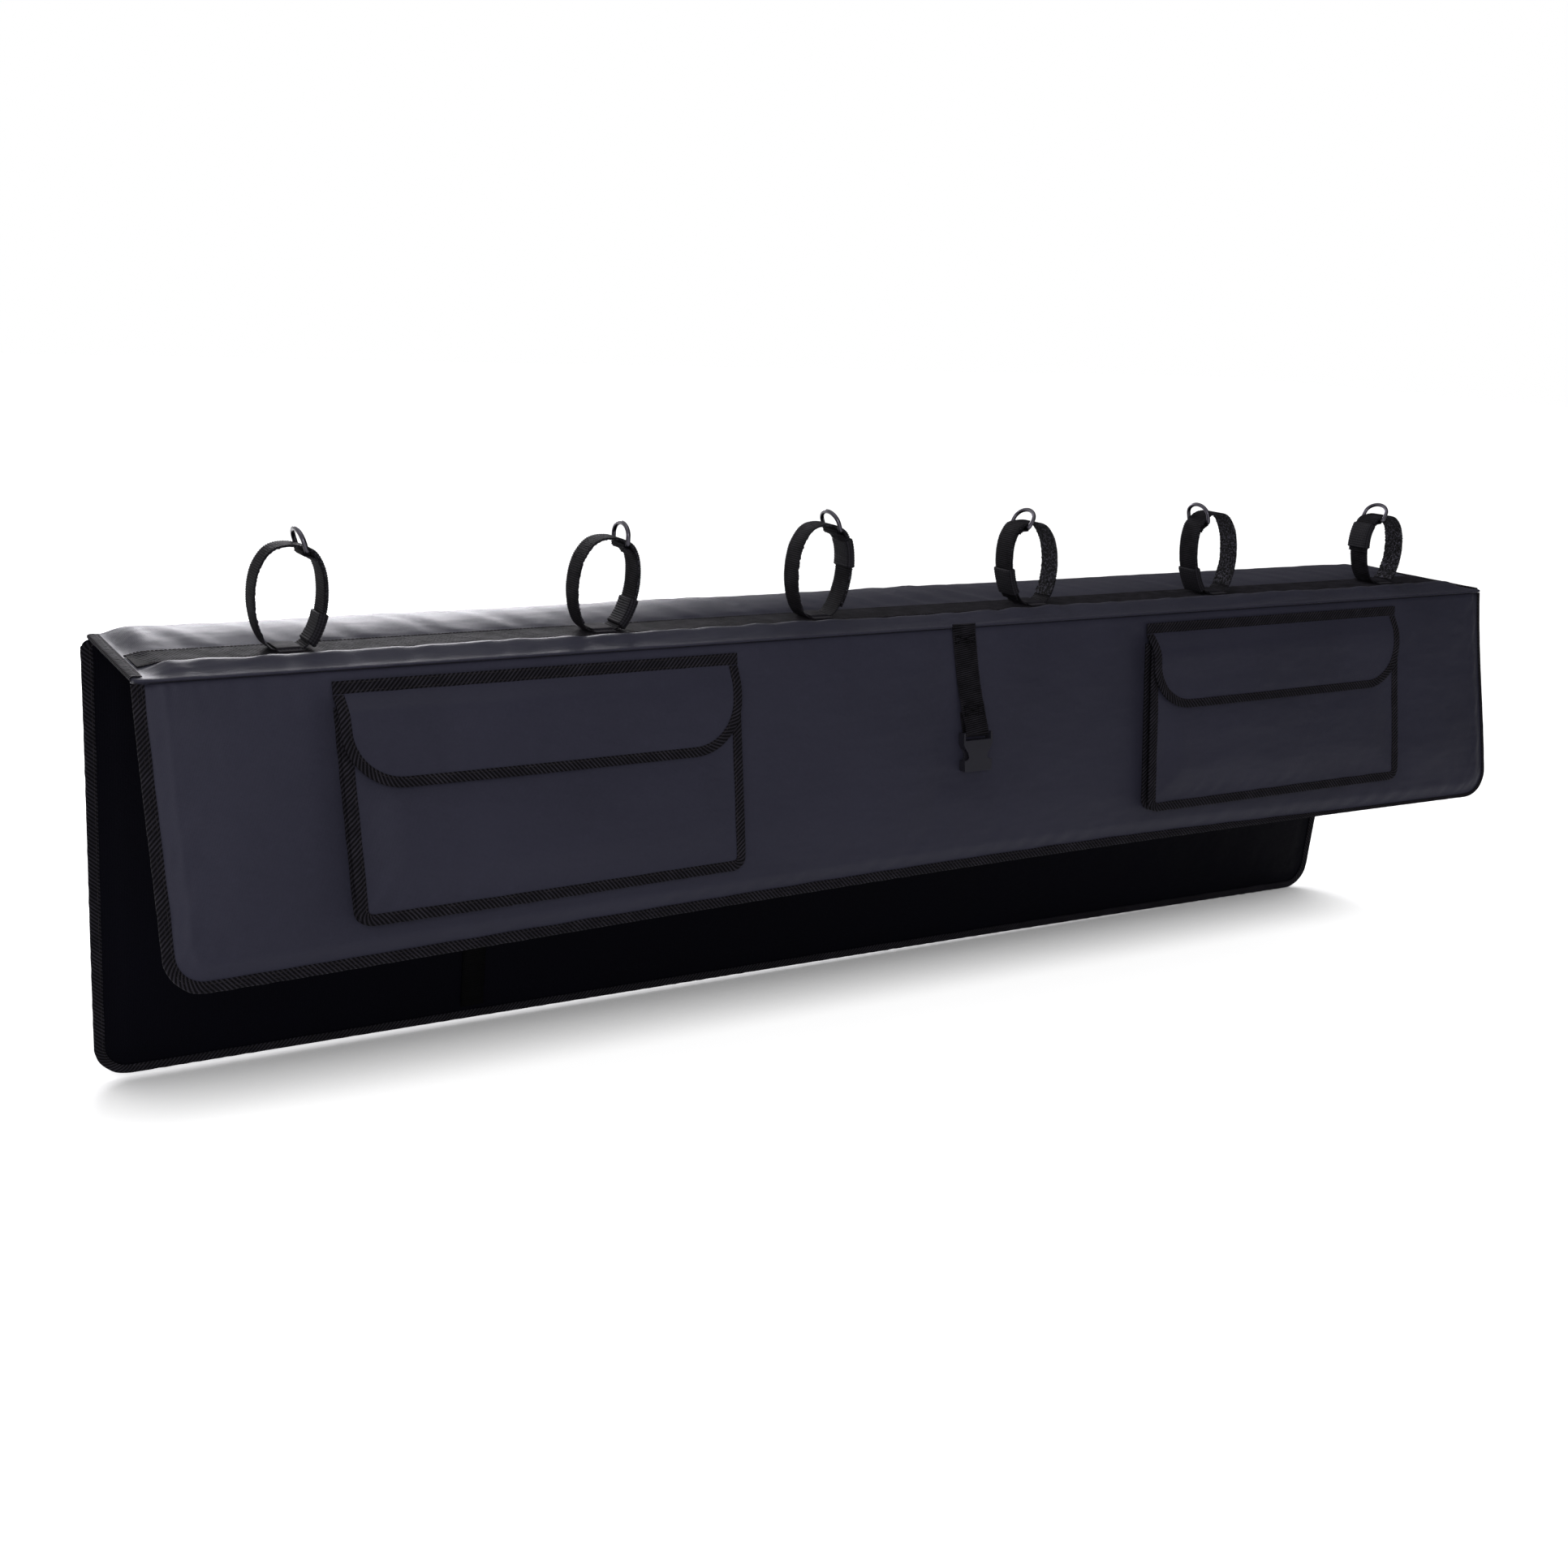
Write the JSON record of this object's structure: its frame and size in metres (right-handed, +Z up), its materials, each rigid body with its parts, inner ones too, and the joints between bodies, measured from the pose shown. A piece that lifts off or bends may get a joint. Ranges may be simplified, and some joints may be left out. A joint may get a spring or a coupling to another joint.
{
  "type": "tailgate bike pad",
  "caption": "Padded saddle that hangs over a pickup tailgate, with webbing loops for bike frames, D rings, two lidded pockets and a buckle tie strap",
  "frame": {"origin": "middle of the flat underside of the top panel, the face that sits on the tailgate's top edge", "axes": "+X along the tailgate, -Y towards the front flap with the pockets, +Z up"},
  "size_m": [1.5912, 0.3352, 0.5625],
  "materials": {
    "cover_cloth": "coated woven fabric, dark charcoal, half gloss",
    "lining_cloth": "plain black woven lining, matte",
    "foam": "closed cell foam sheet, matte",
    "binding_tape": "twill tape, matte",
    "strap_webbing": "ribbed woven webbing, half matte",
    "keeper_band": "ribbed elastic band, half matte",
    "pile_patch": "hook-and-loop tape, matte",
    "ring_metal": "black coated steel wire, satin to gloss",
    "buckle_plastic": "moulded black plastic, fine matte texture"
  },
  "bodies": {
    "pad": {"front_cover": "cover_cloth", "front_foam": "foam", "front_lining": "lining_cloth", "front_binding": "binding_tape", "rear_cover": "cover_cloth", "rear_foam": "foam", "rear_lining": "lining_cloth", "rear_binding": "binding_tape", "top_cover": "cover_cloth", "top_foam": "foam", "top_lining": "lining_cloth", "top_binding_left": "binding_tape", "top_binding_right": "binding_tape", "anchor_strip": "strap_webbing", "tie_webbing": "strap_webbing", "inner_webbing": "strap_webbing", "rear_strap": "strap_webbing", "strap_1_webbing": "strap_webbing", "strap_1_keeper": "keeper_band", "strap_1_tab": "strap_webbing", "strap_2_webbing": "strap_webbing", "strap_2_keeper": "keeper_band", "strap_2_tab": "strap_webbing", "strap_3_webbing": "strap_webbing", "strap_3_keeper": "keeper_band", "strap_3_tab": "strap_webbing", "strap_4_webbing": "strap_webbing", "strap_4_keeper": "keeper_band", "strap_4_tab": "strap_webbing", "strap_5_webbing": "strap_webbing", "strap_5_keeper": "keeper_band", "strap_5_tab": "strap_webbing", "strap_6_webbing": "strap_webbing", "strap_6_keeper": "keeper_band", "strap_6_tab": "strap_webbing", "pocket_left_pouch": "cover_cloth", "pocket_left_front_binding": "binding_tape", "pocket_left_back_binding": "binding_tape", "pocket_left_lid": "cover_cloth", "pocket_left_lid_binding": "binding_tape", "pocket_left_top_binding": "binding_tape", "pocket_left_hook_patch": "pile_patch", "pocket_left_loop_patch": "pile_patch", "pocket_right_pouch": "cover_cloth", "pocket_right_front_binding": "binding_tape", "pocket_right_back_binding": "binding_tape", "pocket_right_lid": "cover_cloth", "pocket_right_lid_binding": "binding_tape", "pocket_right_top_binding": "binding_tape", "pocket_right_hook_patch": "pile_patch", "pocket_right_loop_patch": "pile_patch"},
    "ring_1": {"strap_1_ring": "ring_metal"},
    "ring_2": {"strap_2_ring": "ring_metal"},
    "ring_3": {"strap_3_ring": "ring_metal"},
    "ring_4": {"strap_4_ring": "ring_metal"},
    "ring_5": {"strap_5_ring": "ring_metal"},
    "ring_6": {"strap_6_ring": "ring_metal"},
    "outer_buckle_half": {"tie_buckle": "buckle_plastic"},
    "inner_buckle_half": {"inner_buckle": "buckle_plastic"}
  },
  "joints": [
    {"name": "ring_1_hinge", "type": "hinge", "parent": "pad", "child": "ring_1", "pos_m": [-0.63537, -0.0354, 0.09039], "axis": [0, 1, 0], "range_deg": [-22, 80]},
    {"name": "ring_2_hinge", "type": "hinge", "parent": "pad", "child": "ring_2", "pos_m": [-0.34032, -0.0354, 0.08649], "axis": [0, 1, 0], "range_deg": [-34, 80]},
    {"name": "ring_3_hinge", "type": "hinge", "parent": "pad", "child": "ring_3", "pos_m": [-0.10979, -0.0354, 0.09275], "axis": [0, 1, 0], "range_deg": [-14, 80]},
    {"name": "ring_4_hinge", "type": "hinge", "parent": "pad", "child": "ring_4", "pos_m": [0.12185, -0.0354, 0.08995], "axis": [0, 1, 0], "range_deg": [-80, 14]},
    {"name": "ring_5_hinge", "type": "hinge", "parent": "pad", "child": "ring_5", "pos_m": [0.37393, -0.0354, 0.08835], "axis": [0, 1, 0], "range_deg": [-80, 30]},
    {"name": "ring_6_hinge", "type": "hinge", "parent": "pad", "child": "ring_6", "pos_m": [0.65312, -0.0354, 0.08366], "axis": [0, 1, 0], "range_deg": [-80, 14]},
    {"name": "outer_buckle_hinge", "type": "hinge", "parent": "pad", "child": "outer_buckle_half", "pos_m": [0.0235, -0.11579, -0.10624], "axis": [1, 0, 0], "range_deg": [-75, 0]},
    {"name": "inner_buckle_hinge", "type": "hinge", "parent": "pad", "child": "inner_buckle_half", "pos_m": [0.0235, -0.09801, -0.10816], "axis": [1, 0, 0], "range_deg": [0, 90]}
  ]
}
